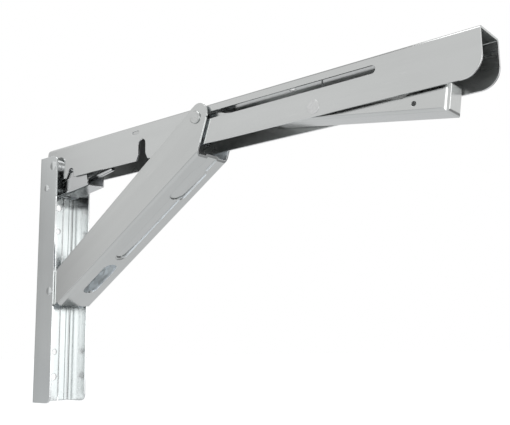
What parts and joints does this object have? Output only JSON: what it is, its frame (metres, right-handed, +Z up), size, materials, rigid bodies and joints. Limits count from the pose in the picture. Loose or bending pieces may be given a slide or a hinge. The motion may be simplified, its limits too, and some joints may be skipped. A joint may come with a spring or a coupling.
{
  "type": "folding shelf bracket",
  "caption": "Fold-down shelf bracket of nested sheet-steel channels with a sliding brace, a squeeze release lever and a wall plate.",
  "frame": {"origin": "middle of the wall channel's back face, which lies on the wall", "axes": "+X out from the wall along the opened arm, +Y across the bracket, +Z up the wall"},
  "size_m": [0.458, 0.0424, 0.2485],
  "materials": {
    "wall_sheet": "polished sheet steel, seen in shade",
    "arm_sheet": "polished sheet steel",
    "brace_sheet": "polished sheet steel",
    "lever_sheet": "polished sheet steel",
    "stop_sheet": "polished sheet steel",
    "rivet_steel": "polished rivets",
    "bush_steel": "turned steel",
    "spring_steel": "spring wire"
  },
  "bodies": {
    "wall": {"wall_channel": "wall_sheet", "arm_hinge_pin": "rivet_steel", "stop_pin": "rivet_steel", "brace_foot_pin": "rivet_steel", "hinge_washer_near": "bush_steel", "hinge_washer_far": "bush_steel"},
    "arm": {"arm_channel": "arm_sheet", "lever_rivet": "rivet_steel", "lever_spacer_near": "bush_steel", "lever_spacer_far": "bush_steel", "lever_spring": "spring_steel"},
    "brace": {"brace_channel": "brace_sheet", "brace_rivet_near": "rivet_steel", "brace_rivet_far": "rivet_steel"},
    "slide": {"slide_bush_near": "bush_steel", "slide_bush_far": "bush_steel"},
    "release_lever": {"release_lever": "lever_sheet"},
    "stop_lever": {"stop_lever": "stop_sheet", "stop_hub": "bush_steel", "stop_rod": "rivet_steel", "stop_rod_block": "stop_sheet"}
  },
  "joints": [
    {"name": "arm_fold", "type": "hinge", "parent": "wall", "child": "arm", "pos_m": [0.022, 0, 0.109], "axis": [0, 1, 0], "range_deg": [0, 90]},
    {"name": "brace_swing", "type": "hinge", "parent": "wall", "child": "brace", "pos_m": [0.022, 0, -0.0145], "axis": [0, 1, 0], "range_deg": [0, 122.37]},
    {"name": "pin_slide", "type": "slide", "parent": "arm", "child": "slide", "axis": [1, 0, 0], "range_m": [0, 0.16455]},
    {"name": "release_squeeze", "type": "hinge", "parent": "arm", "child": "release_lever", "pos_m": [0.33, 0, 0.102], "axis": [0, 1, 0], "range_deg": [-9.05, 0], "deforming": ["lever_spring"]},
    {"name": "stop_turn", "type": "hinge", "parent": "wall", "child": "stop_lever", "pos_m": [0.0125, 0, 0.0875], "axis": [0, 1, 0], "range_deg": [0, 90.05]}
  ],
  "couplings": [
    {"joint": "brace_swing", "follows": "arm_fold", "ratio": 1.3591},
    {"joint": "pin_slide", "follows": "arm_fold", "m_per_rad": 0.10473},
    {"joint": "release_squeeze", "follows": "arm_fold", "ratio": -0.1},
    {"joint": "stop_turn", "follows": "arm_fold", "ratio": 1}
  ]
}
